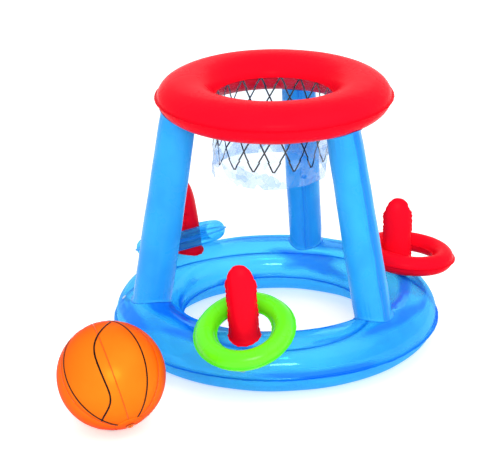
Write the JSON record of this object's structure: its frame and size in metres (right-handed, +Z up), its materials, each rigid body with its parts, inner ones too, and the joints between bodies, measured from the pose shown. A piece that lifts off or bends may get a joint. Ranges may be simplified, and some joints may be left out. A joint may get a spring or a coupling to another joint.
{
  "type": "floating basketball hoop",
  "caption": "Inflatable pool basketball hoop: a red hoop with a clear net skirt on leaning blue legs over a floating ring, with pegs, toss rings and a ball.",
  "frame": {"origin": "on the floor, under the middle of the whole set seen from above, ball included", "axes": "+Z up; the ball lies at the front, which is -Y, and to the left, which is -X; +X to the right seen from the front"},
  "size_m": [0.7184, 0.782, 0.5065],
  "materials": {
    "blue_film": "gloss, see-through vinyl",
    "blue_tube": "satin vinyl",
    "red_tube": "satin vinyl",
    "green_tube": "satin vinyl",
    "clear_film": "clear vinyl",
    "orange_film": "gloss, see-through vinyl"
  },
  "bodies": {
    "frame": {"base_film_upper_left": "blue_film", "base_film_upper_right": "blue_film", "base_film_lower_left": "blue_film", "base_film_lower_right": "blue_film", "base_valve_body": "clear_film", "hoop_film_upper": "red_tube", "hoop_film_lower": "red_tube", "net_skirt": "clear_film", "leg_left": "blue_tube", "leg_right": "blue_tube", "leg_back": "blue_tube", "peg_front": "red_tube", "peg_right": "red_tube", "peg_left": "red_tube"},
    "base_stopper": {"base_valve_stopper": "clear_film"},
    "base_flap": {"base_valve_flap": "clear_film"},
    "green_ring": {"green_ring_film_upper": "green_tube", "green_ring_film_lower": "green_tube", "green_ring_valve_body": "clear_film"},
    "green_stopper": {"green_ring_valve_stopper": "clear_film"},
    "green_flap": {"green_ring_valve_flap": "clear_film"},
    "red_ring": {"red_ring_film_upper": "red_tube", "red_ring_film_lower": "red_tube", "red_ring_valve_body": "clear_film"},
    "red_stopper": {"red_ring_valve_stopper": "clear_film"},
    "red_flap": {"red_ring_valve_flap": "clear_film"},
    "blue_ring": {"blue_ring_film_upper": "blue_film", "blue_ring_film_lower": "blue_film", "blue_ring_valve_body": "clear_film"},
    "blue_stopper": {"blue_ring_valve_stopper": "clear_film"},
    "blue_flap": {"blue_ring_valve_flap": "clear_film"},
    "ball": {"ball_gore_1": "orange_film", "ball_gore_2": "orange_film", "ball_gore_3": "orange_film", "ball_gore_4": "orange_film", "ball_gore_5": "orange_film", "ball_gore_6": "orange_film", "ball_cap_valve": "orange_film", "ball_cap_plain": "orange_film", "ball_valve_body": "clear_film"},
    "ball_stopper": {"ball_valve_stopper": "clear_film"},
    "ball_flap": {"ball_valve_flap": "clear_film"}
  },
  "joints": [
    {"name": "green_ring_lift", "type": "slide", "parent": "frame", "child": "green_ring", "axis": [0, 0, 1], "range_m": [0, 0.17]},
    {"name": "red_ring_lift", "type": "slide", "parent": "frame", "child": "red_ring", "axis": [0, 0, 1], "range_m": [0, 0.17]},
    {"name": "blue_ring_lift", "type": "slide", "parent": "frame", "child": "blue_ring", "axis": [0, 0, 1], "range_m": [0, 0.17]},
    {"name": "ball_lift", "type": "slide", "parent": "frame", "child": "ball", "axis": [0, 0, 1], "range_m": [0, 0.25]},
    {"name": "base_stopper_pull", "type": "slide", "parent": "frame", "child": "base_stopper", "axis": [-0.693, -0.0454, 0.7195], "range_m": [0, 0.014]},
    {"name": "green_stopper_pull", "type": "slide", "parent": "green_ring", "child": "green_stopper", "axis": [0.0814, -0.2031, -0.9758], "range_m": [0, 0.014]},
    {"name": "red_stopper_pull", "type": "slide", "parent": "red_ring", "child": "red_stopper", "axis": [0.3947, 0.2658, -0.8795], "range_m": [0, 0.014]},
    {"name": "blue_stopper_pull", "type": "slide", "parent": "blue_ring", "child": "blue_stopper", "axis": [-0.2273, 0.094, -0.9693], "range_m": [0, 0.014]},
    {"name": "ball_stopper_pull", "type": "slide", "parent": "ball", "child": "ball_stopper", "axis": [0.3569, -0.6049, -0.7119], "range_m": [0, 0.014]},
    {"name": "base_flap_hinge", "type": "hinge", "parent": "frame", "child": "base_flap", "pos_m": [-0.25792, 0.0647, 0.07544], "axis": [-0.718, -0.0471, -0.6945], "range_deg": [0, 50], "stiffness_Nm_per_rad": 0.00001, "springref_deg": -20.05},
    {"name": "green_flap_hinge", "type": "hinge", "parent": "green_ring", "child": "green_flap", "pos_m": [-0.03978, -0.23563, 0.08334], "axis": [0.128, 0.973, -0.1918], "range_deg": [0, 50], "stiffness_Nm_per_rad": 0.00001, "springref_deg": -20.05},
    {"name": "red_flap_hinge", "type": "hinge", "parent": "red_ring", "child": "red_flap", "pos_m": [0.32865, 0.22769, 0.10541], "axis": [-0.7647, -0.4356, -0.4748], "range_deg": [0, 50], "stiffness_Nm_per_rad": 0.00001, "springref_deg": -20.05},
    {"name": "blue_flap_hinge", "type": "hinge", "parent": "blue_ring", "child": "blue_flap", "pos_m": [-0.22291, 0.31508, 0.08744], "axis": [0.743, -0.6266, -0.235], "range_deg": [0, 50], "stiffness_Nm_per_rad": 0.00001, "springref_deg": -20.05},
    {"name": "ball_flap_hinge", "type": "hinge", "parent": "ball", "child": "ball_flap", "pos_m": [-0.23325, -0.34939, 0.03531], "axis": [0.4272, 0.7834, -0.4515], "range_deg": [0, 50], "stiffness_Nm_per_rad": 0.00001, "springref_deg": -20.05}
  ]
}
